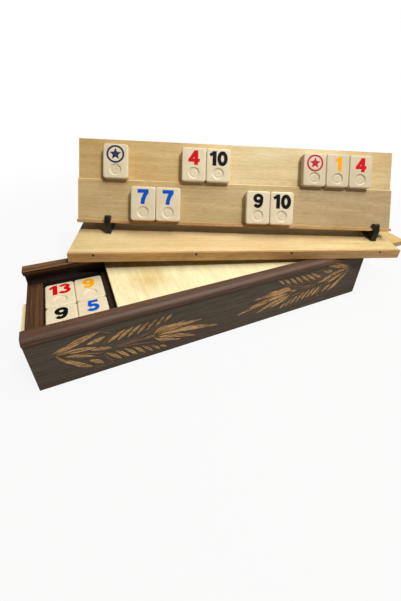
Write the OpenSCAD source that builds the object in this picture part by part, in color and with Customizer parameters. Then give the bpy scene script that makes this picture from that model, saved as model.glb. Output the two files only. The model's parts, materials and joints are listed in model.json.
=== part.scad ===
// Rummy tile case: a long wooden case with a sliding lid, full of number tiles.
// A tile rack lies face down across its rails, and a second rack stands on that one
// on two clip-on feet, with ten tiles on its two ledges.
// X runs along the case, the front wall faces -Y, Z is up, and the origin is the
// centre of the case's underside.

/* [Tiles] */
// Width of one tile
tile_w = 26.5; // [24:0.5:28]
// Height of one tile's face
tile_l = 36.5; // [34:0.5:40]
// Thickness of one tile
tile_t = 10; // [8:0.5:12]
// Radius of the corners of a tile's face
tile_corner_r = 3; // [1:0.5:5]
// Gap between neighbouring tiles
tile_gap = 0.3; // [0.2:0.1:0.8]
// Diameter of the finger recess in a tile's face
recess_d = 12; // [8:0.5:16]
// Depth of the finger recess
recess_depth = 0.7; // [0.3:0.1:1.5]
// Distance from the recess down to the tile's foot
recess_foot = 3.3; // [2:0.1:5]

/* [Case] */
// Columns of tiles along the case
tile_cols = 12; // [11:1:13]
// Columns of tiles left of the divider
left_cols = 2; // [1:1:4]
// Thickness of the divider
divider_t = 6; // [4:0.5:10]
// Layers of tiles in the case
tile_layers = 4; // [3:1:5]
// Free length left of the tiles
room_left = 1.5; // [1:0.5:8]
// Free length right of the tiles
room_right = 1; // [0.5:0.1:10]
// Free width behind the back row of tiles
room_back = 5.6; // [1:0.1:10]
// Room above the top layer, under the lid
room_top = 0.8; // [0.5:0.1:3]
// Thickness of the front and back walls
wall_t = 10.8; // [9:0.1:14]
// Thickness of the two end walls
end_t = 14; // [9:0.5:16]
// Thickness of the bottom panel
floor_t = 8; // [5:0.5:12]
// Width of the ledge that the lid slides on
ledge_w = 4.9; // [3:0.1:6]

/* [Rails and lid] */
// Thickness of the lid
lid_t = 7; // [5:0.5:9]
// How far the lid is drawn open
lid_open = 75.2; // [0:0.1:200]
// Side clearance of the lid in its groove
lid_side_gap = 0.3; // [0.2:0.1:0.6]
// Height of the lid's edge that stands above the walls, inside the rails
lid_above_wall = 1.6; // [0.5:0.1:3]
// Radius of the front rail's rounded outer edge
front_r = 6.1; // [5.2:0.1:8]
// How far the front rail bulges past the front wall
front_bulge = 1.7; // [0:0.1:3]
// How far the front rail reaches in over the lid
front_reach = 5.5; // [3:0.1:7]
// Radius of the cove under the back rail's nose
cove_r = 5.6; // [4:0.1:8]
// Height of the back rail's nose
nose_h = 6.5; // [4:0.1:9]
// How far the back rail's nose reaches past its cove
nose_reach = 2.7; // [1:0.1:4]
// How far the back rail's outer face leans in at its top
back_lean = 1.9; // [0:0.1:3]

/* [End grip] */
// Width of the pale strip on the left end
grip_w = 39; // [20:1:60]
// Height of the strip
grip_h = 14; // [8:0.5:24]
// How far the strip stands out
grip_t = 4.7; // [2:0.1:8]
// Height of the strip's top above the ground
grip_top = 42.5; // [30:0.5:45]

/* [Rack] */
// Length of a rack
rack_l = 358; // [350:1:390]
// Height of a rack's back panel above its lip
rack_h = 88.6; // [80:0.2:100]
// Height of the lower panel, which carries the upper ledge
tier_h = 44.8; // [40:0.2:50]
// Thickness of the back panel
back_t = 3; // [2.5:0.1:5]
// Thickness of the lower panel
tier_t = 3.5; // [3:0.1:5]
// Depth of the lip that carries the lower row of tiles
lip_reach = 3.2; // [2:0.1:6]
// Thickness of the lip
lip_t = 3; // [2:0.1:5]
// Spacing of the four nails along the lip
nail_pitch = 103; // [60:1:110]
// Diameter of a nail's shank
nail_d = 1.6; // [1.2:0.1:2]
// Diameter of a nail's head
nail_head_d = 2.8; // [2.1:0.1:3.6]
// Length of a nail
nail_l = 14; // [8:0.5:20]

/* [Rack placement] */
// Place of the lying rack's front edge along the case
rack_x = 32.8; // [10:0.1:50]
// Place of the lying rack's front edge across the case
rack_y = -18; // [-24:0.1:-10]
// Turn of the lying rack on the case
rack_yaw = -18; // [-22:0.1:-15]
// Place of the standing rack's foot line behind the lying rack's edge
stand_y = 40.7; // [36:0.1:44]
// Turn of the standing rack on the lying one
stand_yaw = -3.9; // [-5:0.1:0]
// Lean of the standing rack from level
stand_lean = 61; // [55:0.5:70]
// Height of the standing rack's lower ledge above the lying rack
stand_rise = 12.7; // [11:0.1:16]
// Distance from the rack's left end to the middle of the left foot
left_foot_inset = 33.3; // [8:0.1:36]
// Distance from the rack's right end to the middle of the right foot
right_foot_inset = 19.5; // [8:0.1:36]
// Width of a foot
foot_w = 6; // [5:0.5:12]
// Thickness of a foot's leg and of its arm
foot_t = 4.2; // [3:0.1:5]
// Height of the foot's hook above the lip
hook_h = 5; // [3:0.1:8]
// Length of the arm that holds the rack's back
arm_l = 34; // [20:0.5:40]

/* [Hidden] */
$fn = 64;
// Clearance where one piece rests on another of a different body
seat = 0.15;
// Clearance of the clip round the lip
clip_gap = 0.3;
// Clearance of a nail in its hole
nail_gap = 0.05;
// Gap between the lid and the front rail above it
rail_gap = 1.1;
// Size of the cut corner on the foot's hook
hook_corner = 1.5;
// Overlap that lets a cut pass clean through a face
cut = 1;

tile_rows = 2;
tile_pitch = tile_w + tile_gap;
row_pitch = tile_l + tile_gap;

inner_l = room_left + tile_cols * tile_pitch + divider_t + tile_gap + room_right;
inner_w = tile_rows * row_pitch + room_back;
case_l = inner_l + 2 * end_t;
case_w = inner_w + 2 * wall_t;
ledge_z = floor_t + tile_layers * tile_t + room_top;
groove_y = inner_w / 2 + ledge_w;
lid_bottom = ledge_z + seat;
lid_top = lid_bottom + lid_t;
wall_h = lid_top - lid_above_wall;

front_top = wall_h + front_r;
front_crown_y = -(case_w / 2 + front_bulge - front_r);
front_inner_y = groove_y - front_reach;
front_under = lid_top + rail_gap;
front_inner_r = 1.2;

cove_z = lid_top - 0.9;
nose_under = cove_z + cove_r;
back_top = nose_under + nose_h;
nose_bottom_y = groove_y - cove_r;
nose_top_y = nose_bottom_y - nose_reach;
back_round = 1.4;
back_crown_y = nose_top_y + back_round;

tile_x0 = -inner_l / 2 + room_left;
tile_y0 = -inner_w / 2 + tile_gap;

lip_w = back_t + tier_t + lip_reach;
tier_rise = lip_reach;
back_rise = lip_reach + tier_t;
nail_head_t = 0.4;
nail_n = -(tier_t + back_t * 0.3);

// Where the lying rack rests: its lower panel and its back panel each meet the back
// rail's inner edge at their rear corner, and its lip meets the crown of the front rail.
function cross_x(depth, y) = (y - rack_y - cos(rack_yaw) * depth) / sin(rack_yaw);
function on_case(depth, y, z) =
    [rack_x + cos(rack_yaw) * cross_x(depth, y) - sin(rack_yaw) * depth, y, z];
rest_lower = on_case(lip_t + tier_h, back_crown_y, back_top + seat - tier_rise);
rest_back = on_case(lip_t + rack_h, back_crown_y, back_top + seat - back_rise);
rest_front = on_case(lip_t, front_crown_y, front_top + seat);
rest_normal = cross(rest_back - rest_lower, rest_front - rest_lower);
rest_up = rest_normal[2] < 0 ? -rest_normal : rest_normal;
rack_roll = atan2(rest_up[0], rest_up[2]);
rack_pitch = atan2(-rest_up[1], norm([rest_up[0], rest_up[2]]));
rack_z = rest_front[2]
    + ((rest_front[0] - rack_x) * rest_up[0] + (rest_front[1] - rack_y) * rest_up[1]) / rest_up[2];

left_foot_x = left_foot_inset - rack_l / 2;
right_foot_x = rack_l / 2 - right_foot_inset;

// Groups of tiles on the standing rack: middle along the rack, how many, which ledge
joker_group = [-137.5, 1, 1];
four_ten_group = [-39.6, 2, 1];
right_group = [109.7, 3, 1];
seven_group = [-93.7, 2, 0];
nine_ten_group = [32.4, 2, 0];

dark_wood = "#4a3024";
face_wood = "#453a33";
pale_wood = "#e3c68c";
lid_wood = "#f0dfa8";
ivory = "#f2e6cb";
black_plastic = "#1d1d1b";
steel = "#8d8f92";

// Extrudes a profile drawn as (across, up) along the case
module along_case(length) {
    rotate([90, 0, 90])
        linear_extrude(length, center = true)
            children();
}

module wall_profile() {
    difference() {
        translate([inner_w / 2, 0])
            square([wall_t, wall_h]);
        translate([inner_w / 2 - cut, ledge_z])
            square([ledge_w + cut, wall_h]);
    }
}

module front_wall() {
    color(face_wood)
        mirror([0, 1, 0])
            along_case(case_l)
                wall_profile();
}

module back_wall() {
    color(face_wood)
        along_case(case_l)
            wall_profile();
}

module end_wall(side) {
    color(dark_wood)
        translate([side * (inner_l + end_t) / 2 - end_t / 2, -inner_w / 2, 0])
            cube([end_t, inner_w, ledge_z]);
}

module bottom_panel() {
    color(pale_wood)
        translate([-inner_l / 2, -inner_w / 2, 0])
            cube([inner_l, inner_w, floor_t]);
}

// Rounded outer edge, flat top and a nose that holds the lid's edge down
module front_rail_profile() {
    crown = -front_crown_y;
    difference() {
        union() {
            intersection() {
                translate([crown, wall_h])
                    circle(front_r);
                translate([crown, wall_h])
                    square(2 * front_r);
            }
            translate([front_inner_y + front_inner_r, wall_h])
                square([crown - front_inner_y - front_inner_r, front_r]);
            translate([front_inner_y, wall_h])
                square([2 * front_inner_r, front_r - front_inner_r]);
            translate([front_inner_y + front_inner_r, front_top - front_inner_r])
                circle(front_inner_r);
        }
        translate([front_inner_y - cut, wall_h - cut])
            square([front_reach + cut, front_under - wall_h + cut]);
    }
}

module front_rail() {
    color(dark_wood)
        mirror([0, 1, 0])
            along_case(case_l)
                front_rail_profile();
}

// A taller moulding: leaning outer face, flat top, sloping nose and a cove beneath
module back_rail_profile() {
    outer = case_w / 2;
    difference() {
        union() {
            polygon([
                [groove_y - cove_r, cove_z],
                [groove_y, wall_h],
                [outer, wall_h],
                [outer, cove_z],
                [outer - back_lean, back_top - back_round],
                [outer - back_lean - back_round, back_top],
                [nose_top_y + back_round, back_top],
                [nose_top_y, back_top - back_round],
                [nose_bottom_y, nose_under]
            ]);
            translate([outer - back_lean - back_round, back_top - back_round])
                circle(back_round);
            translate([nose_top_y + back_round, back_top - back_round])
                circle(back_round);
        }
        translate([groove_y - cove_r, cove_z])
            circle(cove_r);
        translate([groove_y - cove_r - cut, wall_h - cut])
            square([cove_r + cut, cove_z - wall_h + cut]);
    }
}

module back_rail() {
    color(dark_wood)
        along_case(case_l)
            back_rail_profile();
}

module left_end_grip() {
    color(pale_wood)
        translate([-case_l / 2 - grip_t, -grip_w / 2, grip_top - grip_h])
            cube([grip_t, grip_w, grip_h]);
}

module lid() {
    half = groove_y - lid_side_gap;
    color(lid_wood)
        translate([-case_l / 2 + lid_open, -half, lid_bottom])
            cube([case_l, 2 * half, lid_t]);
}

module rounded_face() {
    inset = tile_corner_r;
    translate([-tile_w / 2 + inset, 0])
        square([tile_w - 2 * inset, tile_l]);
    translate([-tile_w / 2, inset])
        square([tile_w, tile_l - 2 * inset]);
    for (x = [-tile_w / 2 + inset, tile_w / 2 - inset], y = [inset, tile_l - inset])
        translate([x, y])
            circle(tile_corner_r);
}

// One tile on its back, with its foot on the X axis and its face up
module tile() {
    color(ivory)
        difference() {
            linear_extrude(tile_t)
                rounded_face();
            translate([0, recess_foot + recess_d / 2, tile_t - recess_depth])
                cylinder(d = recess_d, h = recess_depth + cut);
        }
}

// The place of a column's left side; the divider stands after the left columns
function column_x(col) = tile_x0 + col * tile_pitch + (col < left_cols ? 0 : divider_t + tile_gap);

module divider() {
    color(dark_wood)
        translate([column_x(left_cols - 1) + tile_pitch, -inner_w / 2, floor_t])
            cube([divider_t, inner_w, ledge_z - room_top - floor_t]);
}

module case_tile(col, row, layer) {
    translate([
        column_x(col) + tile_w / 2,
        tile_y0 + row * row_pitch,
        floor_t + layer * tile_t
    ])
        tile();
}

module case_row(first_col, row, layer) {
    for (col = [first_col : tile_cols - 1])
        case_tile(col, row, layer);
}

module case_layers(first, last) {
    for (layer = [first : last], row = [0 : tile_rows - 1])
        case_row(0, row, layer);
}

// The parts of a rack, drawn with its height along Y and its face towards +Z.
// The lower panel's face is at Z 0 and the lip's top at Y 0.
module rack_nail_places() {
    for (i = [0 : 3])
        translate([(i - 1.5) * nail_pitch, -lip_t, nail_n])
            rotate([-90, 0, 0])
                children();
}

module nail_holes() {
    rack_nail_places()
        translate([0, 0, -cut])
            cylinder(d = nail_d + 2 * nail_gap, h = nail_l + cut + nail_gap);
}

module rack_back_panel() {
    color(pale_wood)
        difference() {
            translate([-rack_l / 2, 0, -tier_t - back_t])
                cube([rack_l, rack_h, back_t]);
            nail_holes();
        }
}

module rack_lower_panel() {
    color(pale_wood)
        translate([-rack_l / 2, 0, -tier_t])
            cube([rack_l, tier_h, tier_t]);
}

module rack_lip() {
    color(pale_wood)
        difference() {
            translate([-rack_l / 2, -lip_t, -tier_t - back_t])
                cube([rack_l, lip_t, lip_w]);
            nail_holes();
            rack_nail_places()
                translate([0, 0, -cut])
                    cylinder(d = nail_head_d + 2 * nail_gap, h = nail_head_t + cut);
        }
}

module rack_nails() {
    color(steel)
        rack_nail_places() {
            cylinder(d = nail_d, h = nail_l);
            cylinder(d = nail_head_d, h = nail_head_t);
        }
}

// The lying rack's own frame: X along it, Y back from its lip, Z up from its lowest edge
module on_rails() {
    translate([rack_x, rack_y, rack_z])
        rotate([rack_pitch, rack_roll, 0])
            rotate([0, 0, rack_yaw])
                children();
}

module lying() {
    on_rails()
        translate([0, lip_t, lip_reach])
            rotate([0, 180, 0])
                children();
}

// The level frame of the standing rack, with Z 0 on top of the lying rack
module on_lying_rack() {
    on_rails()
        translate([0, stand_y, lip_w])
            rotate([0, 0, stand_yaw])
                children();
}

module standing() {
    on_lying_rack()
        translate([0, 0, stand_rise])
            rotate([stand_lean, 0, 0])
                children();
}

// A point of the standing rack's cross-section, as (back, up) from its foot line
function leaning(up, out) = [
    up * cos(stand_lean) - out * sin(stand_lean),
    stand_rise + up * sin(stand_lean) + out * cos(stand_lean)
];

module foot_profile() {
    under = -lip_t - clip_gap;
    front = lip_reach + clip_gap;
    rear = -tier_t - back_t - clip_gap;
    toe = leaning(under, front + foot_t)[0];
    heel = leaning(arm_l, rear - foot_t)[0] + foot_t;
    difference() {
        polygon([
            [toe, seat],
            leaning(under, front + foot_t),
            leaning(hook_h - hook_corner, front + foot_t),
            leaning(hook_h, front + foot_t - hook_corner),
            leaning(hook_h, clip_gap + 1),
            leaning(hook_h - 1, clip_gap),
            leaning(clip_gap, clip_gap),
            leaning(clip_gap, front),
            leaning(under, front),
            leaning(under, rear),
            leaning(arm_l, rear),
            leaning(arm_l, rear - foot_t),
            [heel, foot_t],
            [heel, seat]
        ]);
        polygon([
            [leaning(under, rear)[0] + foot_t / 2, foot_t],
            leaning(arm_l * 0.72, rear - foot_t),
            [heel - foot_t, foot_t]
        ]);
    }
}

module foot(x) {
    color(black_plastic)
        on_lying_rack()
            translate([x, 0, 0])
                rotate([90, 0, 90])
                    linear_extrude(foot_w, center = true)
                        foot_profile();
}

// One tile of a group, stood on the ledge that the group is on
module rack_tile(group, i) {
    upper = group[2];
    standing()
        translate([
            group[0] + (i - (group[1] - 1) / 2) * tile_pitch,
            upper * tier_h + seat,
            -upper * tier_t + seat
        ])
            tile();
}

front_wall();
back_wall();
end_wall(-1);  // left_end_wall
end_wall(1);  // right_end_wall
bottom_panel();
divider();
front_rail();
back_rail();
left_end_grip();
lid();
case_tile(0, 1, tile_layers - 1);  // case_tile_red_13
case_tile(1, 1, tile_layers - 1);  // case_tile_orange_9
case_tile(0, 0, tile_layers - 1);  // case_tile_black_9
case_tile(1, 0, tile_layers - 1);  // case_tile_blue_5
case_row(left_cols, 1, tile_layers - 1);  // case_tiles_top_back_row
case_row(left_cols, 0, tile_layers - 1);  // case_tiles_top_front_row
case_layers(2, tile_layers - 2);  // case_tiles_third_layer
case_layers(1, 1);  // case_tiles_second_layer
case_layers(0, 0);  // case_tiles_bottom_layer
lying() rack_back_panel();  // lying_rack_back_panel
lying() rack_lower_panel();  // lying_rack_lower_panel
lying() rack_lip();  // lying_rack_lip
lying() rack_nails();  // lying_rack_nails
standing() rack_back_panel();  // standing_rack_back_panel
standing() rack_lower_panel();  // standing_rack_lower_panel
standing() rack_lip();  // standing_rack_lip
standing() rack_nails();  // standing_rack_nails
foot(left_foot_x);  // left_foot
foot(right_foot_x);  // right_foot
rack_tile(joker_group, 0);  // rack_tile_blue_joker
rack_tile(four_ten_group, 0);  // rack_tile_red_4_left
rack_tile(four_ten_group, 1);  // rack_tile_black_10_upper
rack_tile(right_group, 0);  // rack_tile_red_joker
rack_tile(right_group, 1);  // rack_tile_orange_1
rack_tile(right_group, 2);  // rack_tile_red_4_right
rack_tile(seven_group, 0);  // rack_tile_blue_7_left
rack_tile(seven_group, 1);  // rack_tile_blue_7_right
rack_tile(nine_ten_group, 0);  // rack_tile_black_9
rack_tile(nine_ten_group, 1);  // rack_tile_black_10_lower
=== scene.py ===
"""The looks of a rummy tile case: a stained box with carved ears, its lid, two racks and the tiles.

Sizes are in millimetres and are turned into metres by MM where a mesh or a matrix is made.
"""

import json
import math

import bmesh
import bpy
from mathutils import Matrix, Vector
from mathutils.geometry import delaunay_2d_cdt

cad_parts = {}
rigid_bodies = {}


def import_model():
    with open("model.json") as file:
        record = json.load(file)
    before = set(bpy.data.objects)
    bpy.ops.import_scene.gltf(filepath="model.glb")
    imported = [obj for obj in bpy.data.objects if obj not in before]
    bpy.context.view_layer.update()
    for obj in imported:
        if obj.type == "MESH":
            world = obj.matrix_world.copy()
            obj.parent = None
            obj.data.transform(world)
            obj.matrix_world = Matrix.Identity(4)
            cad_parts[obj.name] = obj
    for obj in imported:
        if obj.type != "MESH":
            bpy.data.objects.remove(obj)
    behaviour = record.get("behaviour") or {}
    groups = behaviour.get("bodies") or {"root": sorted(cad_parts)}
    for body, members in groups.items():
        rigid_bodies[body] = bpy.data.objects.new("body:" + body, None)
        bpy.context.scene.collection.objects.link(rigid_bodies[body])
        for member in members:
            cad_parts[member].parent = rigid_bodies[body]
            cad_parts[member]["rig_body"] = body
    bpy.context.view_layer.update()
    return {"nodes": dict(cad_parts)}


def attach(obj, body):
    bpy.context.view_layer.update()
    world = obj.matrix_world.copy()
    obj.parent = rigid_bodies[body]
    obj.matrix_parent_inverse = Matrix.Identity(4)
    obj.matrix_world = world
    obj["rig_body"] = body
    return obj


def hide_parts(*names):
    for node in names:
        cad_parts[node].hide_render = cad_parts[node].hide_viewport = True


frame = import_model()
MM = 0.001

# Tiles
TILE_W, TILE_L, TILE_T = 26.5, 36.5, 10.0
TILE_CORNER_R = 3.0
LEAST_CORNER_R = 0.5
TILE_GAP = 0.3
TILE_EDGE_R = 1.3
TILE_BACK_R = 1.0
FACE_MARGIN = 0.3
# Steps in a quarter turn of a corner, of the back edge and of the face's edge
CORNER_STEPS = 6
BACK_STEPS = 3
EDGE_STEPS = 4
RECESS_Y = 9.3
RECESS_SIDES = 40
# The finger recess from its rim to its middle, as (radius, depth)
RECESS = [
    (6.5, 0), (6.2, 0), (6.05, 0.16), (5.8, 0.82), (5.5, 0.98), (5.0, 1.0),
    (3.5, 0.98), (3.2, 0.88), (2.9, 0.84), (2.5, 0.9), (1.2, 0.92),
]
DIGIT_H = 15.6
DIGIT_Y = 25.6
DIGIT_GAP = 1.2
STROKE_SHARE = 1.08
PAINT_T = 0.05
JOKER_RING_R = 9.4
JOKER_RING_W = 2.0
JOKER_RING_SIDES = 48
STAR_R = 6.4
STAR_INNER = 0.46

# Case and racks, as the solids have them
CASE_W = 100.8
TILE_COLS, TILE_ROWS, TILE_LAYERS = 12, 2, 4
TILE_X0, TILE_Y0, FLOOR_T = -163.7, -39.3, 8.0
LEFT_COLS, DIVIDER_T = 2, 6.0
TIER_H, TIER_T = 44.8, 3.5
LIP_REACH, LIP_T, LIP_W = 3.2, 3.0, 9.7
RACK_PLACE = (32.8, -18.0, 63.211)
RACK_ROLL, RACK_PITCH, RACK_YAW = 1.41453, 0.49775, -18.0
STAND_Y, STAND_YAW, STAND_LEAN, STAND_RISE = 40.7, -3.9, 61.0, 12.7
SEAT = 0.15


def shift(x, y, z):
    """A move in millimetres."""
    return Matrix.Translation((x * MM, y * MM, z * MM))


def turn(angle, axis):
    """A turn in degrees."""
    return Matrix.Rotation(math.radians(angle), 4, axis)


ON_RAILS = shift(*RACK_PLACE) @ turn(RACK_ROLL, "Y") @ turn(RACK_PITCH, "X") @ turn(RACK_YAW, "Z")
LYING = ON_RAILS @ shift(0, LIP_T, LIP_REACH) @ turn(180, "Y")
ON_LYING = ON_RAILS @ shift(0, STAND_Y, LIP_W) @ turn(STAND_YAW, "Z")
STANDING = ON_LYING @ shift(0, 0, STAND_RISE) @ turn(STAND_LEAN, "X")
AT_CASE = Matrix.Identity(4)


# Colours
def linear(value):
    """One sRGB value from 0 to 255 as linear light."""
    value /= 255
    return value / 12.92 if value <= 0.04045 else ((value + 0.055) / 1.055) ** 2.4


def rgb(red, green, blue):
    """A colour from its sRGB values."""
    return (linear(red), linear(green), linear(blue), 1.0)


# The colour sockets of a Mix node
MIX_FIRST, MIX_SECOND, MIX_RESULT = 6, 7, 2


class Shader:
    """A material with a Principled shader, and short calls that add nodes to it."""

    def __init__(self, name, roughness=0.5, specular=0.5):
        self.material = bpy.data.materials.new(name)
        self.material.use_nodes = True
        self.tree = self.material.node_tree
        self.bsdf = self.tree.nodes["Principled BSDF"]
        self.bsdf.inputs["Roughness"].default_value = roughness
        self.bsdf.inputs["Specular IOR Level"].default_value = specular
        self.coordinates = self.tree.nodes.new("ShaderNodeTexCoord")

    def put(self, value, socket):
        """Links an output to a socket, or sets the socket to a constant."""
        if isinstance(value, bpy.types.NodeSocket):
            self.tree.links.new(value, socket)
        else:
            socket.default_value = value

    def place(self, scale, offset=(0, 0, 0)):
        """Object coordinates in metres, stretched and shifted."""
        node = self.tree.nodes.new("ShaderNodeMapping")
        node.inputs["Scale"].default_value = scale
        node.inputs["Location"].default_value = offset
        self.tree.links.new(self.coordinates.outputs["Object"], node.inputs["Vector"])
        return node.outputs["Vector"]

    def noise(self, vector, detail, roughness=0.5, distortion=0.0):
        """Noise whose scale comes from its stretched coordinates alone."""
        node = self.tree.nodes.new("ShaderNodeTexNoise")
        self.put(vector, node.inputs["Vector"])
        node.inputs["Scale"].default_value = 1.0
        node.inputs["Detail"].default_value = detail
        node.inputs["Roughness"].default_value = roughness
        node.inputs["Distortion"].default_value = distortion
        return node.outputs["Fac"]

    def math(self, operation, *values):
        """A Math node on outputs and constants."""
        node = self.tree.nodes.new("ShaderNodeMath")
        node.operation = operation
        for value, socket in zip(values, node.inputs):
            self.put(value, socket)
        return node.outputs["Value"]

    def ramp(self, value, *stops):
        """A colour ramp with (place, colour) stops."""
        node = self.tree.nodes.new("ShaderNodeValToRGB")
        elements = node.color_ramp.elements
        while len(elements) < len(stops):
            elements.new(0.5)
        for element, (place, colour) in zip(elements, stops):
            element.position = place
            element.color = colour
        self.put(value, node.inputs["Fac"])
        return node.outputs["Color"]

    def mix(self, factor, first, second, blend="MIX"):
        """A mix of two colours."""
        node = self.tree.nodes.new("ShaderNodeMix")
        node.data_type = "RGBA"
        node.blend_type = blend
        self.put(factor, node.inputs["Factor"])
        self.put(first, node.inputs[MIX_FIRST])
        self.put(second, node.inputs[MIX_SECOND])
        return node.outputs[MIX_RESULT]

    def tint(self, factor, colour, filter_colour):
        """A colour seen through a filter."""
        return self.mix(factor, colour, filter_colour, "MULTIPLY")

    def coordinate(self, output, axis):
        """One axis of a texture coordinate."""
        split = self.tree.nodes.new("ShaderNodeSeparateXYZ")
        self.tree.links.new(self.coordinates.outputs[output], split.inputs["Vector"])
        return split.outputs["XYZ".index(axis)]

    def facing(self, axis):
        """How far a face looks along an axis of its object, from 0 to 1."""
        return self.math("ABSOLUTE", self.coordinate("Normal", axis))

    def along(self, axis):
        """A coordinate of the object in metres."""
        return self.coordinate("Object", axis)

    def away_from(self, place):
        """The distance from a point of the object in metres."""
        node = self.tree.nodes.new("ShaderNodeVectorMath")
        node.operation = "DISTANCE"
        self.tree.links.new(self.coordinates.outputs["Object"], node.inputs[0])
        node.inputs[1].default_value = place
        return node.outputs["Value"]

    def bump(self, height, strength, distance):
        node = self.tree.nodes.new("ShaderNodeBump")
        node.inputs["Strength"].default_value = strength
        node.inputs["Distance"].default_value = distance
        self.put(height, node.inputs["Height"])
        self.tree.links.new(node.outputs["Normal"], self.bsdf.inputs["Normal"])

    def colour(self, value):
        self.put(value, self.bsdf.inputs["Base Color"])

    def roughness(self, value):
        self.put(value, self.bsdf.inputs["Roughness"])


WHITE = (1.0, 1.0, 1.0, 1.0)
BLACK = (0.0, 0.0, 0.0, 1.0)
# Painted shade: the colour by which faces in shadow are multiplied
PAINTED_SHADE = rgb(128, 112, 98)
# Length in metres over which painted light and shade run from 0 to 1, with 0.5 at the origin of the
# piece
PAINTED_LIGHT_SPAN = 0.54
# Axis across which plywood is layered
PLY_AXIS = "Z"
# About one wave of a sine, in radians
WAVE = 6.28


def spread(grain, lengthwise, crosswise):
    """Scales for noise that is stretched along the grain axis."""
    return tuple(lengthwise if axis == grain else crosswise for axis in "XYZ")


def pale_wood(
    name, light, mid, dark, grain="X", plies=0.0, offset=(0, 0, 0), figure=9.0, contrast=1.0, painted_light=(),
    knot=None
):
    """Birch or maple: fine streaks, slow clouds and faint flame figure.

    It may have plies of a thickness in mm on its cut edges, a knot at a place in metres, and painted
    light and shade that vary along X.
    """
    wood = Shader(name, roughness=0.48, specular=0.4)
    streaks = wood.noise(wood.place(spread(grain, 9, 420), offset), detail=6, roughness=0.6)
    clouds = wood.noise(wood.place(spread(grain, 14, 34), offset), detail=3)
    contour = wood.noise(wood.place(spread(grain, 3.2, 15), offset), detail=2, distortion=0.6)
    rings = wood.math("SINE", wood.math("MULTIPLY", contour, WAVE * figure))
    flame = wood.math("MULTIPLY_ADD", rings, 0.5, 0.5)
    base = wood.ramp(clouds, (0.3, mid), (0.68, light))
    figured = wood.mix(wood.math("MULTIPLY", flame, 0.35 * contrast), base, dark)
    fibre = wood.ramp(streaks, (0.25, rgb(214, 204, 190)), (0.62, WHITE))
    colour = wood.tint(0.75 * contrast, figured, fibre)
    fleck = wood.noise(wood.place(spread(grain, 130, 900), offset), detail=2)
    fleck_colour = wood.ramp(fleck, (0.35, rgb(205, 190, 165)), (0.55, WHITE))
    colour = wood.tint(0.45 * contrast, colour, fleck_colour)
    if plies:
        bands = wood.math("SINE", wood.math("MULTIPLY", wood.along(PLY_AXIS), WAVE / (plies * MM)))
        ply = wood.ramp(wood.math("MULTIPLY_ADD", bands, 0.5, 0.5), (0.35, dark), (0.6, mid))
        on_face = wood.math("GREATER_THAN", wood.facing(PLY_AXIS), 0.6)
        edge = wood.tint(0.6, ply, fibre)
        colour = wood.mix(on_face, edge, colour)
    if knot:
        smudge = wood.math("MULTIPLY_ADD", clouds, 0.02, wood.away_from(knot))
        knot_colour = wood.ramp(smudge, (0.012, rgb(236, 218, 186)), (0.034, WHITE))
        colour = wood.tint(1.0, colour, knot_colour)
    # Painted light and shade: a colour ramp along X that lightens or darkens parts of the piece in place
    # of the lamps
    if painted_light:
        place = wood.math("MULTIPLY_ADD", wood.along("X"), 1 / PAINTED_LIGHT_SPAN, 0.5)
        colour = wood.tint(1.0, colour, wood.ramp(place, *painted_light))
    wood.colour(colour)
    wood.roughness(wood.math("MULTIPLY_ADD", streaks, 0.2, 0.36))
    wood.bump(streaks, 0.08, 0.0003)
    return wood.material


def stained_wood(
    name, light, mid, dark, roughness, grain="X", specular=0.35, shade_upright_faces=False, shade_below_y=None
):
    """Stained hardwood: dark pores in long lines over a slowly varying stain.

    It may have painted shade on upright faces, where shadow falls, or on the side below a given y in
    metres, where an inner face stands in shadow.
    """
    wood = Shader(name, roughness=roughness, specular=specular)
    lines = wood.noise(wood.place(spread(grain, 7, 520)), detail=7, roughness=0.62)
    pores = wood.noise(wood.place(spread(grain, 55, 1900)), detail=3)
    stain = wood.noise(wood.place(spread(grain, 11, 40)), detail=4)
    colour = wood.ramp(stain, (0.3, mid), (0.72, light))
    colour = wood.mix(wood.ramp(lines, (0.36, WHITE), (0.6, BLACK)), colour, dark)
    pore_colour = wood.ramp(pores, (0.33, rgb(150, 140, 130)), (0.52, WHITE))
    colour = wood.tint(0.6, colour, pore_colour)
    # Painted shade on upright faces, where shadow falls
    if shade_upright_faces:
        upright = wood.ramp(wood.facing("Z"), (0.3, PAINTED_SHADE), (0.75, WHITE))
        colour = wood.tint(1.0, colour, upright)
    # Painted shade on the side below the given y, where the inner face stands in shadow
    if shade_below_y is not None:
        inside = wood.math("LESS_THAN", wood.along("Y"), shade_below_y)
        colour = wood.mix(inside, colour, wood.tint(1.0, colour, PAINTED_SHADE))
    wood.colour(colour)
    wood.roughness(wood.math("MULTIPLY_ADD", lines, 0.25, roughness - 0.12))
    wood.bump(wood.math("ADD", lines, pores), 0.1, 0.0004)
    return wood.material


def cut_wood(name, light, dark):
    """Bare wood at the bottom of a gouge, with dark stain left along the grain."""
    wood = Shader(name, roughness=0.6, specular=0.3)
    streaks = wood.noise(wood.place((60, 1300, 1300)), detail=5, roughness=0.65)
    clouds = wood.noise(wood.place((70, 70, 70)), detail=2)
    colour = wood.ramp(streaks, (0.38, dark), (0.56, light))
    colour = wood.tint(0.5, colour, wood.ramp(clouds, (0.35, rgb(190, 160, 130)), (0.6, WHITE)))
    wood.colour(colour)
    wood.bump(streaks, 0.25, 0.0005)
    return wood.material


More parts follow.
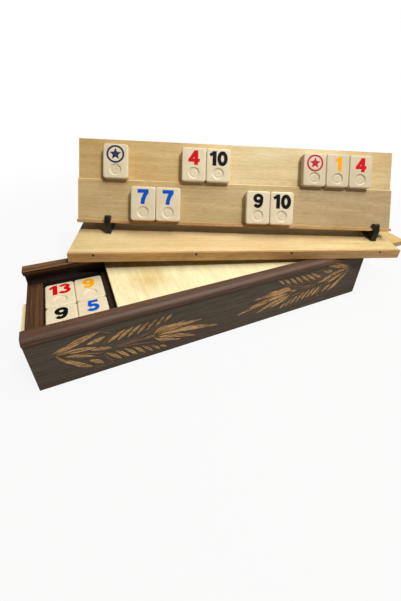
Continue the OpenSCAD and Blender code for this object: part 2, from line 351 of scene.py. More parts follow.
def moulded_plastic(name, colour, shade, roughness, subsurface=0.0):
    """Smooth moulded plastic with a faint clouding and a fine skin."""
    plastic = Shader(name, roughness=roughness, specular=0.5)
    clouds = plastic.noise(plastic.place((90, 90, 90)), detail=3)
    plastic.colour(plastic.ramp(clouds, (0.3, shade), (0.7, colour)))
    skin = plastic.noise(plastic.place((1500, 1500, 1500)), detail=2)
    plastic.bump(skin, 0.06, 0.0002)
    plastic.bsdf.inputs["Subsurface Weight"].default_value = subsurface
    plastic.bsdf.inputs["Subsurface Radius"].default_value = (1.0, 0.8, 0.5)
    plastic.bsdf.inputs["Subsurface Scale"].default_value = 0.002
    return plastic.material


def paint(name, colour):
    """Number paint, with a slightly uneven coat."""
    coat = Shader(name, roughness=0.5, specular=0.12)
    uneven = coat.noise(coat.place((400, 400, 400)), detail=2)
    darker = tuple(channel * 0.82 for channel in colour[:3]) + (1.0,)
    coat.colour(coat.ramp(uneven, (0.3, darker), (0.6, colour)))
    return coat.material


def nail_metal():
    """Dull steel with darker spots."""
    metal = Shader("nail_steel", roughness=0.45)
    metal.bsdf.inputs["Metallic"].default_value = 0.9
    spots = metal.noise(metal.place((900, 900, 900)), detail=3)
    metal.colour(metal.ramp(spots, (0.4, rgb(58, 48, 40)), (0.65, rgb(112, 102, 92))))
    return metal.material


IVORY = moulded_plastic("ivory_plastic", rgb(230, 217, 187), rgb(222, 206, 174), 0.36, subsurface=0.1)
# Painted shade: a darker copy of the ivory for the tiles at the right end of the standing rack, where
# less light falls
SHADED_IVORY = moulded_plastic(
    "shaded_ivory_plastic", rgb(211, 196, 166), rgb(203, 187, 156), 0.4, subsurface=0.1
)
BLACK_PLASTIC = moulded_plastic("black_plastic", rgb(34, 34, 29), rgb(20, 20, 17), 0.4)
PAINTS = {
    "red": paint("red_paint", rgb(208, 4, 20)),
    "blue": paint("blue_paint", rgb(0, 86, 200)),
    "black": paint("black_paint", rgb(9, 9, 12)),
    "orange": paint("orange_paint", rgb(250, 170, 0)),
}
JOKER_PAINTS = {
    "blue": paint("joker_blue_paint", rgb(44, 56, 92)),
    "red": paint("joker_red_paint", rgb(188, 36, 66)),
}
FACE_WOOD = stained_wood("face_stain", rgb(98, 86, 73), rgb(90, 79, 66), rgb(80, 69, 58), 0.72)
RAIL_WOOD = stained_wood(
    "rail_stain", rgb(104, 70, 45), rgb(90, 60, 39), rgb(68, 44, 28), 0.58, specular=0.55
)
# A lighter copy of the rail stain, which paints light onto this rail's top, with painted shade on its
# upright faces below the nose
BACK_RAIL_WOOD = stained_wood(
    "back_rail_stain", rgb(142, 100, 60), rgb(118, 82, 48), rgb(70, 46, 26), 0.58, shade_upright_faces=True
)
# Painted shade on the inner face of the back wall, below y = 45 mm
BACK_WOOD = stained_wood(
    "back_stain", rgb(98, 86, 73), rgb(90, 79, 66), rgb(80, 69, 58), 0.72, shade_below_y=0.045
)
END_WOOD = stained_wood("end_stain", rgb(116, 78, 46), rgb(95, 62, 37), rgb(54, 34, 19), 0.55, grain="Y")
DIVIDER_WOOD = stained_wood(
    "divider_stain", rgb(62, 41, 26), rgb(50, 32, 20), rgb(28, 18, 10), 0.6, grain="Y"
)
# Place of a knot in the lid, in metres
LID_KNOT = (-0.067, -0.006, 0.056)
# Painted shade that darkens the lid towards its right end, which lies in the shadow of the racks
LID_WOOD = pale_wood(
    "lid_plywood", rgb(247, 240, 199), rgb(240, 226, 178), rgb(222, 190, 130),
    grain="Y", plies=1.4, contrast=0.45, knot=LID_KNOT,
    painted_light=((0.0, WHITE), (0.74, WHITE), (0.86, rgb(226, 206, 176)), (1.0, rgb(212, 188, 152))),
)
# Painted light: brightest in the middle of the board as a broad painted highlight, dimmer and cooler
# towards its ends
UPPER_WOOD = pale_wood(
    "upper_plywood", rgb(243, 219, 170), rgb(230, 199, 144), rgb(202, 162, 104),
    contrast=0.65, figure=5.0,
    painted_light=(
        (0.16, rgb(221, 210, 187)),
        (0.36, rgb(235, 229, 214)),
        (0.5, rgb(246, 255, 255)),
        (0.64, rgb(244, 252, 255)),
        (0.84, rgb(230, 229, 221)),
    ),
)
# Painted light: dimmer towards both ends of the piece
LYING_WOOD = pale_wood(
    "lying_plywood", rgb(238, 217, 170), rgb(226, 197, 145), rgb(200, 160, 106),
    offset=(0.2, 0.6, 0), contrast=0.6,
    painted_light=((0.2, rgb(244, 247, 238)), (0.5, WHITE), (0.84, rgb(242, 242, 232))),
)
# Painted shade that deepens towards the +X end of the piece
LOWER_WOOD = pale_wood(
    "lower_plywood", rgb(217, 190, 141), rgb(206, 175, 124), rgb(178, 140, 90),
    offset=(0.5, 0.2, 0), contrast=0.7,
    painted_light=(
        (0.16, WHITE),
        (0.5, rgb(247, 255, 255)),
        (0.66, rgb(238, 242, 250)),
        (0.84, rgb(226, 230, 241)),
    ),
)
LIP_WOOD = pale_wood(
    "lip_wood", rgb(214, 173, 115), rgb(196, 153, 97), rgb(156, 112, 64), offset=(0.3, 0.1, 0.2)
)
# Painted highlight: a lighter wood for the eased edges of the racks, where they catch the light
EDGE_HIGHLIGHT = pale_wood("edge_highlight_wood", rgb(252, 234, 184), rgb(246, 222, 166), rgb(230, 196, 134))
GRIP_WOOD = pale_wood(
    "grip_wood", rgb(255, 240, 192), rgb(252, 228, 174), rgb(230, 190, 130), grain="Y", contrast=0.6
)
FLOOR_WOOD = pale_wood("floor_plywood", rgb(224, 196, 146), rgb(212, 180, 128), rgb(184, 146, 96))
GOUGE = cut_wood("gouge_wood", rgb(226, 182, 124), rgb(124, 90, 58))
FINE_GOUGE = cut_wood("fine_gouge_wood", rgb(156, 114, 74), rgb(94, 68, 46))
STEEL = nail_metal()


# Pieces copied from the solids, with eased edges
EASE_SEGMENTS = 3
EASE_ANGLE = 32
WELD_DISTANCE = 0.002
FLAT_ANGLE = 0.4


def as_object(name, points, faces, materials, matrix=AT_CASE):
    """A new object whose points are in metres in its own frame."""
    mesh = bpy.data.meshes.new(name)
    mesh.from_pydata(points, [], faces)
    for material in materials:
        mesh.materials.append(material)
    piece = bpy.data.objects.new(name, mesh)
    bpy.context.scene.collection.objects.link(piece)
    piece.matrix_world = matrix
    return piece


def solid_copy(node, name, material, matrix):
    """The solid's mesh in its own frame, with its flat faces in one piece."""
    shape = bmesh.new()
    shape.from_mesh(frame["nodes"][node].data)
    bmesh.ops.remove_doubles(shape, verts=shape.verts, dist=WELD_DISTANCE * MM)
    flat = math.radians(FLAT_ANGLE)
    bmesh.ops.dissolve_limit(
        shape, angle_limit=flat, verts=shape.verts, edges=shape.edges, delimit=set()
    )
    shape.transform(matrix.inverted())
    bmesh.ops.recalc_face_normals(shape, faces=shape.faces)
    shape.verts.index_update()
    points = [tuple(vertex.co) for vertex in shape.verts]
    faces = [[vertex.index for vertex in face.verts] for face in shape.faces]
    shape.free()
    return as_object(name, points, faces, [material], matrix)


def ease(piece, width, edge_material=None):
    """Rounds every sharp edge and keeps the flats flat. The rounding may have its own material."""
    for face in piece.data.polygons:
        face.use_smooth = True
    bevel = piece.modifiers.new("eased_edges", "BEVEL")
    bevel.width = width * MM
    bevel.segments = EASE_SEGMENTS
    bevel.limit_method = "ANGLE"
    bevel.angle_limit = math.radians(EASE_ANGLE)
    bevel.harden_normals = True
    bevel.use_clamp_overlap = True
    if edge_material:
        piece.data.materials.append(edge_material)
        bevel.material = 1


def settle(piece):
    """Applies the modifiers."""
    graph = bpy.context.evaluated_depsgraph_get()
    mesh = bpy.data.meshes.new_from_object(piece.evaluated_get(graph))
    piece.modifiers.clear()
    piece.data = mesh


def body_of_node(node):
    """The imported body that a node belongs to."""
    return frame["nodes"][node]["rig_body"]


def dress(node, material, matrix=AT_CASE, width=0.5, edge_material=None):
    """A piece that stands for one solid."""
    piece = solid_copy(node, node + "_piece", material, matrix)
    ease(piece, width, edge_material)
    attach(piece, body_of_node(node))
    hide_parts(node)
    return piece


# The carving on the front wall: a feathered ear on each half
CUT_STATIONS = 12
CUT_DEPTH_SHARE = 0.34
CUT_TIP = 0.02
CUTTER_PROUD = 0.4
CUT_FULLNESS = 0.8
# A cut stays whole up to the slim width, and is made of two strokes up to the broad one
SLIM_CUT = 2.2
BROAD_CUT = 3.3
STROKE_FILL = 0.78
STROKE_SPREAD = 1.12


def gouge(name, start, end, width, bend, full, material):
    """A pointed V cutter for the wall's face, from start to end, which are (along, up) in mm.

    It bows sideways by bend and is widest at the share full of its length.
    """
    (x0, z0), (x1, z1) = start, end
    length = math.hypot(x1 - x0, z1 - z0)
    ax = (x1 - x0) / length
    az = (z1 - z0) / length
    power = math.log(0.5) / math.log(full)
    points = []
    for i in range(CUT_STATIONS + 1):
        t = i / CUT_STATIONS
        swell = max(math.sin(math.pi * t**power), 0.0) ** CUT_FULLNESS
        bow = bend * 4 * t * (1 - t)
        x = x0 + ax * length * t - az * bow
        z = z0 + az * length * t + ax * bow
        half = width / 2 * swell + CUT_TIP
        deep = width * CUT_DEPTH_SHARE * swell + CUT_TIP
        out = half * (1 + CUTTER_PROUD / deep)
        points += [
            (x - az * out, -CASE_W / 2 - CUTTER_PROUD, z + ax * out),
            (x + az * out, -CASE_W / 2 - CUTTER_PROUD, z - ax * out),
            (x, -CASE_W / 2 + deep, z),
        ]
    last = 3 * CUT_STATIONS
    faces = [(0, 1, 2), (last + 2, last + 1, last)]
    for i in range(CUT_STATIONS):
        for side in range(3):
            a = 3 * i + side
            b = 3 * i + (side + 1) % 3
            faces.append((a, a + 3, b + 3, b))
    metres = [(x * MM, y * MM, z * MM) for x, y, z in points]
    cutter = as_object(name, metres, faces, [material])
    shape = bmesh.new()
    shape.from_mesh(cutter.data)
    bmesh.ops.recalc_face_normals(shape, faces=shape.faces)
    shape.to_mesh(cutter.data)
    shape.free()
    return cutter


def hatched(start, end, width, bend, full, fine):
    """A broad cut as a fan of slim ones that meet at both ends, as a knife makes it."""
    if fine or width < SLIM_CUT:
        return [(start, end, width, bend, full, fine)]
    count = 2 if width < BROAD_CUT else 3
    step = width / count
    bends = [bend + (i - (count - 1) / 2) * step * STROKE_SPREAD for i in range(count)]
    return [(start, end, step * STROKE_FILL, one_bend, full, False) for one_bend in bends]


def ear_cuts():
    """The cuts of one ear as (start, end, width, bend, full, fine), measured from the ear's tip."""
    leaves = [
        ((0, 0), (19, 4.8), 2.6, 0.8, 0.6, False),
        ((4, -1.2), (40, 11.2), 5.4, 1.6, 0.55, False),
        ((4, -1.8), (35, -5.6), 4.2, 0.8, 0.55, False),
        ((29, -6.6), (47, -11), 3.8, 0.4, 0.45, False),
        ((9, -6), (33, -16), 3.0, 0.8, 0.5, False),
        ((3, -2), (14, -17.5), 2.2, -0.8, 0.5, False),
        ((10, -10), (29, -27.5), 4.6, -1.4, 0.55, False),
        ((12, -5.6), (40, -15.4), 1.5, 1.2, 0.5, True),
    ]
    eyes = [
        ((28, 0.8), (44, 5), 4.0, -0.6, 0.35, False),
        ((39.6, 11), (50.8, 4.8), 1.2, 0.4, 0.5, True),
        ((50.6, 5), (38.6, -4.8), 1.5, 0.8, 0.5, True),
        ((26.5, -18.4), (38, -27), 4.2, 0.8, 0.4, False),
        ((28.5, -27.2), (41, -30.6), 1.2, -0.4, 0.5, True),
        ((40.5, -30.6), (46.5, -28), 1.2, -0.4, 0.5, True),
        ((39.5, -14.8), (46.5, -28.5), 1.6, -0.8, 0.5, True),
    ]
    barbs = []
    for i in range(7):
        foot = (43.8 + 8.6 * i, -4.6 + 0.028 * i**3)
        barbs.append((foot, (60.9 + 7.1 * i, 6.2 + 0.43 * i), 3.1 - 0.1 * i, 0.5, 0.5, False))
        top = (41.0 + 7.9 * i, -15.3 - 0.3 * i**2)
        barbs.append((top, (53.5 + 7.2 * i, -28.6 - 0.55 * i), 3.4 - 0.12 * i, 0.6, 0.55, False))
    stems = [
        ((46, -10.4), (94, 0.2), 1.3, -3.2, 0.5, True),
        ((48, -11.9), (84, -11.3), 1.4, 0.3, 0.5, True),
        ((50.5, -12.6), (98.5, -25), 1.3, 1.8, 0.5, True),
        ((75, -11.5), (86, -11.2), 2.4, 0.0, 0.6, False),
    ]
    neck = (84, -11.6)
    plume = [
        (neck, (96.5, -2.8), 1.3, 2.4, 0.5, False),
        (neck, (98, -22.8), 1.3, -2.4, 0.5, False),
        ((86, -9), (101, -3.6), 2.8, 1.0, 0.5, False),
        ((86, -9.5), (117, -4), 2.6, 1.4, 0.45, False),
        ((96, -5), (118, -9), 2.6, 1.0, 0.5, False),
        ((86, -11), (133, -8.4), 4.2, 1.6, 0.45, False),
        ((88, -13), (138, -17), 4.4, 1.0, 0.45, False),
        ((100, -13.4), (151, -22.4), 3.6, 0.8, 0.35, False),
        ((88, -15), (127.5, -28), 4.2, 1.2, 0.4, False),
        ((87, -16.4), (111, -26.4), 3.2, -0.6, 0.45, False),
        ((132, -17.2), (151, -22.2), 2.6, 0.0, 0.75, False),
    ]
    return [cut for broad in leaves + eyes + barbs + stems + plume for cut in hatched(*broad)]


# Each ear has its tip as (along, up), the way it points along the wall, and its tilt in degrees
EARS = [
    {"name": "left", "tip": (-162.6, 37.1), "way": 1, "tilt": 0.0},
    {"name": "right", "tip": (161.3, 43.4), "way": -1, "tilt": -0.9},
]


def on_wall(ear, point):
    """A point of an ear as a place on the front wall."""
    x, z = point
    cosine = math.cos(math.radians(ear["tilt"]))
    sine = math.sin(math.radians(ear["tilt"]))
    tip_x, tip_z = ear["tip"]
    return (tip_x + ear["way"] * (cosine * x - sine * z), tip_z + sine * x + cosine * z)


def carve(wall):
    """Cuts both ears into the front wall."""
    cutters = bpy.data.collections.new("cutters")
    bpy.context.scene.collection.children.link(cutters)
    for ear in EARS:
        for number, (start, end, width, bend, full, fine) in enumerate(ear_cuts()):
            cutter = gouge(
                f"cut_{ear['name']}_{number}", on_wall(ear, start), on_wall(ear, end),
                width, bend * ear["way"], full, FINE_GOUGE if fine else GOUGE,
            )
            bpy.context.scene.collection.objects.unlink(cutter)
            cutters.objects.link(cutter)
    cut = wall.modifiers.new("carving", "BOOLEAN")
    cut.operation = "DIFFERENCE"
    cut.operand_type = "COLLECTION"
    cut.collection = cutters
    cut.solver = "EXACT"
    cut.material_mode = "TRANSFER"
    settle(wall)
    for cutter in list(cutters.objects):
        bpy.data.objects.remove(cutter)
    bpy.data.collections.remove(cutters)


# Tiles
def rounded_ring(inset, height):
    """A rounded rectangle around the tile at a height, drawn in from the tile's side."""
    radius = max(TILE_CORNER_R - inset, LEAST_CORNER_R)
    half = TILE_W / 2 - inset
    ring = []
    corners = [
        (half - radius, TILE_L - inset - radius, 0),
        (-half + radius, TILE_L - inset - radius, 90),
        (-half + radius, inset + radius, 180),
        (half - radius, inset + radius, 270),
    ]
    for x, y, first in corners:
        for step in range(CORNER_STEPS + 1):
            angle = math.radians(first + 90 * step / CORNER_STEPS)
            ring.append((x + radius * math.cos(angle), y + radius * math.sin(angle), height))
    return ring


def circle(middle_y, radius, count):
    """Points of a circle on the tile's middle line."""
    angles = [2 * math.pi * i / count for i in range(count)]
    return [(radius * math.cos(angle), middle_y + radius * math.sin(angle)) for angle in angles]


def bridge(shape, lower, upper):
    """A strip of faces between two rings of points."""
    for i in range(len(lower)):
        j = (i + 1) % len(lower)
        shape.faces.new((lower[i], lower[j], upper[j], upper[i]))


def tile_shape():
    """A tile with rounded edges and a stepped finger recess, as a bmesh in millimetres."""
    shape = bmesh.new()
    sides = [(TILE_BACK_R + FACE_MARGIN, 0.0)]
    for step in range(BACK_STEPS + 1):
        angle = math.radians(90 * step / BACK_STEPS)
        sides.append((TILE_BACK_R * (1 - math.sin(angle)), TILE_BACK_R * (1 - math.cos(angle))))
    for step in range(EDGE_STEPS + 1):
        angle = math.radians(90 * step / EDGE_STEPS)
        rise = TILE_EDGE_R * math.sin(angle)
        sides.append((TILE_EDGE_R * (1 - math.cos(angle)), TILE_T - TILE_EDGE_R + rise))
    sides.append((TILE_EDGE_R + FACE_MARGIN, TILE_T))
    rings = [[shape.verts.new(point) for point in rounded_ring(*side)] for side in sides]
    for lower, upper in zip(rings, rings[1:]):
        bridge(shape, lower, upper)
    shape.faces.new(reversed(rings[0]))
    circles = [
        [shape.verts.new((x, y, TILE_T - depth)) for x, y in circle(RECESS_Y, radius, RECESS_SIDES)]
        for radius, depth in RECESS
    ]
    for outer, inner in zip(circles, circles[1:]):
        bridge(shape, outer, inner)
    shape.faces.new(circles[-1])
    rims = [edge for edge in shape.edges if len(edge.link_faces) == 1]
    bmesh.ops.triangle_fill(shape, use_beauty=True, use_dissolve=False, edges=rims)
    bmesh.ops.recalc_face_normals(shape, faces=shape.faces)
    for face in shape.faces:
        face.smooth = True
    return shape


def arc(x, y, rx, ry, start, end, steps=18):
    """Points along an ellipse, with angles in degrees."""
    angles = [math.radians(start + (end - start) * i / steps) for i in range(steps + 1)]
    return [(x + rx * math.cos(angle), y + ry * math.sin(angle)) for angle in angles]


def band(path, width):
    """The outline of a stroke of one width along a path."""
    left = []
    right = []
    half = width * STROKE_SHARE / 2
    for i, (x, y) in enumerate(path):
        before = path[max(i - 1, 0)]
        after = path[min(i + 1, len(path) - 1)]
        dx = after[0] - before[0]
        dy = after[1] - before[1]
        length = math.hypot(dx, dy)
        nx = -dy / length * half
        ny = dx / length * half
        left.append((x + nx, y + ny))
        right.append((x - nx, y - ny))
    return right + left[::-1]


def ring_bands(x, y, rx, ry, width):
    """A closed loop, as two strokes that overlap."""
    return [band(arc(x, y, rx, ry, start, start + 200), width) for start in (-10, 170)]


SIX = ring_bands(5.6, 5.0, 3.8, 3.3, 3.5) + [band(arc(6.1, 7.4, 4.2, 6.5, 188, 40), 3.4)]
# Each digit as its width and its strokes, with the baseline at 0
DIGIT_STROKES = {
    "0": (11.2, ring_bands(5.6, 7.8, 3.7, 6.0, 3.8)),
    "1": (7.6, [band([(5.6, 0), (5.6, DIGIT_H)], 4.0), band([(0.7, 11.0), (5.4, 14.2)], 3.1)]),
    "2": (11.0, [
        band(arc(5.4, 11.1, 3.6, 2.8, 172, -30) + [(2.0, 2.0)], 3.6),
        band([(0.2, 1.75), (10.9, 1.75)], 3.5),
    ]),
    "3": (10.8, [
        band(arc(5.2, 11.5, 3.5, 2.5, 165, -95), 3.3),
        band(arc(5.2, 4.9, 3.9, 3.2, 95, -165), 3.5),
    ]),
    "4": (12.6, [
        band([(8.6, 0), (8.6, DIGIT_H)], 4.0),
        band([(0, 4.9), (12.6, 4.9)], 3.3),
        band([(1.7, 4.6), (8.2, 14.6)], 3.4),
    ]),
    "5": (10.8, [
        band([(2.0, 13.9), (10.4, 13.9)], 3.4),
        band([(3.3, DIGIT_H), (2.6, 7.6)], 3.0),
        band(arc(5.0, 5.2, 4.0, 3.5, 140, -158), 3.5),
    ]),
    "6": (11.2, SIX),
    "7": (11.8, [
        band([(0, 13.8), (11.8, 13.8)], 3.6),
        band([(10.3, 13.4), (7.7, 9.4), (6.0, 4.8), (5.4, 0)], 4.0),
    ]),
    "8": (11.2, ring_bands(5.6, 11.6, 3.1, 2.4, 3.2) + ring_bands(5.6, 4.8, 3.9, 3.1, 3.5)),
    "9": (11.2, [[(11.2 - x, DIGIT_H - y) for x, y in stroke] for stroke in SIX]),
}


# Settings of the triangulation: keep what lies inside the strokes, and merge points this close
INSIDE_ONLY = 1
MERGE_DISTANCE = 1e-5


def number_shape(text):
    """The digits of a number as one thin plate in the tile's face, as points and faces in mm."""
    total = sum(DIGIT_STROKES[digit][0] for digit in text) + DIGIT_GAP * (len(text) - 1)
    left = -total / 2
    corners = []
    strokes = []
    for digit in text:
        width, outlines = DIGIT_STROKES[digit]
        for outline in outlines:
            first = len(corners)
            corners += [Vector((left + x, DIGIT_Y - DIGIT_H / 2 + y)) for x, y in outline]
            strokes.append(list(range(first, len(corners))))
        left += width + DIGIT_GAP
    flat, _, triangles, _, _, owners = delaunay_2d_cdt(corners, [], strokes, INSIDE_ONLY, MERGE_DISTANCE)
    triangles = [face for face, owner in zip(triangles, owners) if owner]
    return plate([(point.x, point.y) for point in flat], triangles)


def plate(flat, triangles):
    """A thin plate from flat triangles, sunk half into the tile's face."""
    total = len(flat)
    points = [(x, y, TILE_T + side * PAINT_T) for side in (-1, 1) for x, y in flat]
    faces = []
    rims = {}
    for face in triangles:
        faces.append(tuple(total + i for i in face))
        faces.append(tuple(reversed(face)))
        for a, b in zip(face, list(face[1:]) + [face[0]]):
            if (b, a) in rims:
                del rims[b, a]
            else:
                rims[a, b] = True
    faces += [(a, b, total + b, total + a) for a, b in rims]
    used = sorted({i for face in faces for i in face})
    place = {old: new for new, old in enumerate(used)}
    return [points[i] for i in used], [tuple(place[i] for i in face) for face in faces]


def loop_prism(outline, hole):
    """A thin plate between two outlines with as many points, or a filled plate without a hole."""
    points = []
    faces = []
    n = len(outline)
    for z in (TILE_T - PAINT_T, TILE_T + PAINT_T):
        points += [(x, y, z) for x, y in outline]
        points += [(x, y, z) for x, y in hole]
    total = n + len(hole)
    for i in range(n):
        j = (i + 1) % n
        faces.append((i, j, total + j, total + i))
        if hole:
            faces.append((n + j, n + i, total + n + i, total + n + j))
            faces.append((total + i, total + j, total + n + j, total + n + i))
            faces.append((j, i, n + i, n + j))
    if not hole:
        faces.append(tuple(range(total, 2 * total)))
        faces.append(tuple(reversed(range(total))))
    return points, faces


def star_shape():
    """A plain five-pointed star in a ring, which marks a joker."""
    outer = circle(DIGIT_Y, JOKER_RING_R, JOKER_RING_SIDES)
    inner = circle(DIGIT_Y, JOKER_RING_R - JOKER_RING_W, JOKER_RING_SIDES)
    ring_points, ring_faces = loop_prism(outer, inner)
    star = []
    for i in range(10):
        radius = STAR_R * (STAR_INNER if i % 2 else 1)
        angle = math.radians(90 + 36 * i)
        star.append((radius * math.cos(angle), DIGIT_Y + radius * math.sin(angle)))
    points, faces = loop_prism(star, [])
    first = len(ring_points)
    return ring_points + points, ring_faces + [tuple(first + i for i in face) for face in faces]


SHARP_ANGLE = 50
PLAIN_TILE = tile_shape()
MARKS = {str(number): number_shape(str(number)) for number in range(1, 14)}
MARKS["star"] = star_shape()


def tiles(node, placings, plastic=IVORY):
    """A piece that stands for one node of tiles. Each placing is (matrix, mark or None, colour)."""
    shape = bmesh.new()
    materials = [plastic]
    for matrix, mark, colour in placings:
        copy = bpy.data.meshes.new("one_tile")
        PLAIN_TILE.to_mesh(copy)
        before = len(shape.verts)
        shape.from_mesh(copy)
        shape.verts.ensure_lookup_table()
        moved = shape.verts[before:]
        if mark:
            material = (JOKER_PAINTS if mark == "star" else PAINTS)[colour]
            if material not in materials:
                materials.append(material)
            points, faces = MARKS[mark]
            made = [shape.verts.new(point) for point in points]
            for face in faces:
                shape.faces.new([made[i] for i in face]).material_index = materials.index(material)
            moved = moved + made
        bmesh.ops.transform(shape, matrix=matrix @ Matrix.Scale(MM, 4), verts=moved)
        bpy.data.meshes.remove(copy)
    piece = as_object(node + "_piece", [], [], materials)
    shape.to_mesh(piece.data)
    shape.free()
    piece.data.set_sharp_from_angle(angle=math.radians(SHARP_ANGLE))
    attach(piece, body_of_node(node))
    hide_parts(node)


def case_place(col, row, layer):
    """The place of a tile in the case. The divider stands after the left columns."""
    past_divider = 0 if col < LEFT_COLS else DIVIDER_T + TILE_GAP
    x = TILE_X0 + TILE_W / 2 + col * (TILE_W + TILE_GAP) + past_divider
    return shift(x, TILE_Y0 + row * (TILE_L + TILE_GAP), FLOOR_T + layer * TILE_T)


def rack_place(middle, count, upper, i):
    """The place of one tile of a group on the standing rack."""
    x = middle + (i - (count - 1) / 2) * (TILE_W + TILE_GAP)
    return STANDING @ shift(x, upper * TIER_H + SEAT, SEAT - upper * TIER_T)


def make_rack_tiles():
    """The tiles on the rack. A group is its middle along the rack, its count and its ledge."""
    joker = (-137.5, 1, 1)
    four_ten = (-39.6, 2, 1)
    right = (109.7, 3, 1)
    seven = (-93.7, 2, 0)
    nine_ten = (32.4, 2, 0)
    rack_tiles = {
        "rack_tile_blue_joker": (joker, 0, "star", "blue"),
        "rack_tile_red_4_left": (four_ten, 0, "4", "red"),
        "rack_tile_black_10_upper": (four_ten, 1, "10", "black"),
        "rack_tile_red_joker": (right, 0, "star", "red"),
        "rack_tile_orange_1": (right, 1, "1", "orange"),
        "rack_tile_red_4_right": (right, 2, "4", "red"),
        "rack_tile_blue_7_left": (seven, 0, "7", "blue"),
        "rack_tile_blue_7_right": (seven, 1, "7", "blue"),
        "rack_tile_black_9": (nine_ten, 0, "9", "black"),
        "rack_tile_black_10_lower": (nine_ten, 1, "10", "black"),
    }
    for node, (group, i, mark, colour) in rack_tiles.items():
        # The right group gets the darker ivory as painted shade
        plastic = SHADED_IVORY if group == right else IVORY
        tiles(node, [(rack_place(*group, i), mark, colour)], plastic)


def make_case_tiles():
    """The tiles in the case: four that show, and the rest by row and layer."""
    top = TILE_LAYERS - 1
    shown = {
        "case_tile_red_13": (0, 1, "13", "red"),
        "case_tile_orange_9": (1, 1, "9", "orange"),
        "case_tile_black_9": (0, 0, "9", "black"),
        "case_tile_blue_5": (1, 0, "5", "blue"),
    }
    for node, (col, row, mark, colour) in shown.items():
        tiles(node, [(case_place(col, row, top), mark, colour)])
    colours = list(PAINTS)
    for node, row in (("case_tiles_top_front_row", 0), ("case_tiles_top_back_row", 1)):
        placings = []
        for col in range(LEFT_COLS, TILE_COLS):
            number = str(1 + (5 * col + 7 * row) % 13)
            placings.append((case_place(col, row, top), number, colours[(3 * col + row) % 4]))
        tiles(node, placings)
    layers = {"case_tiles_third_layer": 2, "case_tiles_second_layer": 1, "case_tiles_bottom_layer": 0}
    for node, layer in layers.items():
        placings = [
            (case_place(col, row, layer), None, None)
            for col in range(TILE_COLS)
            for row in range(TILE_ROWS)
        ]
        tiles(node, placings)


def make_case():
    """The case, its carving and its lid."""
    wall = dress("front_wall", FACE_WOOD, width=0.4)
    carve(wall)
    dress("back_wall", BACK_WOOD, width=0.4)
    dress("left_end_wall", END_WOOD)
    dress("right_end_wall", END_WOOD)
    dress("bottom_panel", FLOOR_WOOD, width=0.3)
    dress("divider", DIVIDER_WOOD, width=0.6)
    dress("front_rail", RAIL_WOOD, width=0.5)
    dress("back_rail", BACK_RAIL_WOOD, width=0.5)
    dress("left_end_grip", GRIP_WOOD, width=0.6)
    dress("lid", LID_WOOD, width=0.5)


def make_racks():
    """Both racks and the feet of the standing one."""
    for rack, matrix, wood in (("lying", LYING, LYING_WOOD), ("standing", STANDING, UPPER_WOOD)):
        # The eased edges of each rack carry the painted highlight
        dress(f"{rack}_rack_back_panel", wood, matrix, 0.4, EDGE_HIGHLIGHT)
        dress(f"{rack}_rack_lower_panel", LOWER_WOOD, matrix, 0.5, EDGE_HIGHLIGHT)
        dress(f"{rack}_rack_lip", LIP_WOOD, matrix, 0.5, EDGE_HIGHLIGHT)
        dress(f"{rack}_rack_nails", STEEL, matrix, 0.15)
    for foot in ("left_foot", "right_foot"):
        dress(foot, BLACK_PLASTIC, ON_LYING, 1.5)


# Floor, lamps and camera
FLOOR_REACH = 6.0
FLOOR_DROP = 0.0002
# The floor turns from shaded to pure white between these distances, from this share on
FADE_START, FADE_END, FADE_LEAST = 0.25, 0.75, 0.9
LAMPS_AIM = (0.03, 0.0, 0.08)


def make_floor():
    """A pale floor that keeps the shadow near the case and is white to the camera further out."""
    sides = [(-1, -1), (1, -1), (1, 1), (-1, 1)]
    corners = [(x * FLOOR_REACH, y * FLOOR_REACH, -FLOOR_DROP) for x, y in sides]
    floor = as_object("floor", corners, [(0, 1, 2, 3)], [])
    shader = Shader("floor_white", roughness=0.9, specular=0.1)
    shader.colour(rgb(186, 186, 185))
    tree = shader.tree
    distance = tree.nodes.new("ShaderNodeVectorMath")
    distance.operation = "LENGTH"
    tree.links.new(shader.coordinates.outputs["Object"], distance.inputs[0])
    far = tree.nodes.new("ShaderNodeMapRange")
    far.interpolation_type = "SMOOTHSTEP"
    far.inputs["From Min"].default_value = FADE_START
    far.inputs["From Max"].default_value = FADE_END
    far.inputs["To Min"].default_value = FADE_LEAST
    tree.links.new(distance.outputs["Value"], far.inputs["Value"])
    path = tree.nodes.new("ShaderNodeLightPath")
    factor = shader.math("MULTIPLY", far.outputs["Result"], path.outputs["Is Camera Ray"])
    glow = tree.nodes.new("ShaderNodeEmission")
    glow.inputs["Color"].default_value = WHITE
    blend = tree.nodes.new("ShaderNodeMixShader")
    tree.links.new(factor, blend.inputs["Fac"])
    tree.links.new(shader.bsdf.outputs["BSDF"], blend.inputs[1])
    tree.links.new(glow.outputs["Emission"], blend.inputs[2])
    tree.links.new(blend.outputs["Shader"], tree.nodes["Material Output"].inputs["Surface"])
    floor.data.materials.append(shader.material)


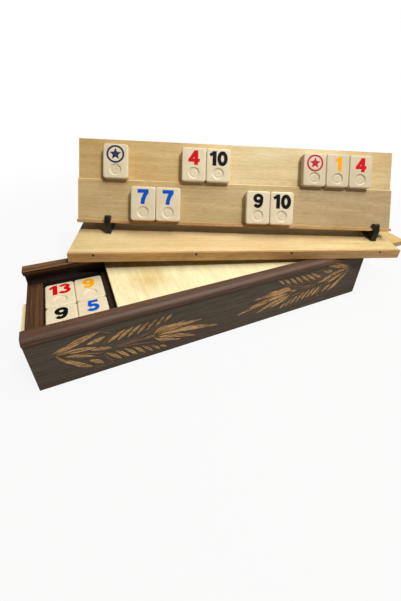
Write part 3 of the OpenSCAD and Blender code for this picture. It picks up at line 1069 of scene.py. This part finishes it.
def make_world(strength):
    """A soft light from all round, seen as white by the camera."""
    world = bpy.data.worlds.new("studio")
    bpy.context.scene.world = world
    world.use_nodes = True
    tree = world.node_tree
    soft = tree.nodes["Background"]
    soft.inputs["Color"].default_value = (1.0, 0.985, 0.96, 1.0)
    soft.inputs["Strength"].default_value = strength
    seen = tree.nodes.new("ShaderNodeBackground")
    seen.inputs["Color"].default_value = WHITE
    seen.inputs["Strength"].default_value = 1.0
    path = tree.nodes.new("ShaderNodeLightPath")
    blend = tree.nodes.new("ShaderNodeMixShader")
    tree.links.new(path.outputs["Is Camera Ray"], blend.inputs["Fac"])
    tree.links.new(soft.outputs["Background"], blend.inputs[1])
    tree.links.new(seen.outputs["Background"], blend.inputs[2])
    tree.links.new(blend.outputs["Shader"], tree.nodes["World Output"].inputs["Surface"])


def make_lamp(name, direction, distance, size, power, colour):
    """A square lamp that faces the object from a distance in metres."""
    lamp = bpy.data.lights.new(name, "AREA")
    lamp.size = size
    lamp.energy = power
    lamp.color = colour
    holder = bpy.data.objects.new(name, lamp)
    bpy.context.scene.collection.objects.link(holder)
    way = Vector(direction).normalized()
    holder.location = Vector(LAMPS_AIM) + way * distance
    holder.rotation_euler = way.to_track_quat("Z", "Y").to_euler()


# The camera stands where the photograph was taken from
CAMERA_PLACE = (-120.7, -254.9, 239.8)
CAMERA_TURN = (57.2115, -1.7217, -24.5262)
FRAME_W, FRAME_H = 401, 601
FOCAL_PIXELS = 309.28
AXIS_U, AXIS_V = 210.49, 261.59
SENSOR = 36.0


def make_camera():
    """The camera, with its shift from the place of the optical axis in the frame."""
    lens = bpy.data.cameras.new("camera")
    lens.sensor_width = SENSOR
    lens.lens = SENSOR * FOCAL_PIXELS / FRAME_H
    lens.shift_x = (FRAME_W / 2 - AXIS_U) / FRAME_H
    lens.shift_y = (AXIS_V - FRAME_H / 2) / FRAME_H
    lens.clip_start = 0.01
    lens.clip_end = 30.0
    holder = bpy.data.objects.new("camera", lens)
    bpy.context.scene.collection.objects.link(holder)
    holder.location = tuple(value * MM for value in CAMERA_PLACE)
    holder.rotation_euler = tuple(math.radians(value) for value in CAMERA_TURN)
    bpy.context.scene.camera = holder


make_camera()
make_world(0.06)
make_lamp("overhead", (0.3, -0.04, 0.95), 1.2, 1.0, 14.0, (1.0, 0.985, 0.95))
make_lamp("key", (0.15, -0.51, 0.85), 1.3, 0.09, 10.0, (1.0, 0.975, 0.92))
make_floor()
make_case()
make_racks()
make_case_tiles()
make_rack_tiles()

bpy.context.scene.view_settings.view_transform = "Standard"
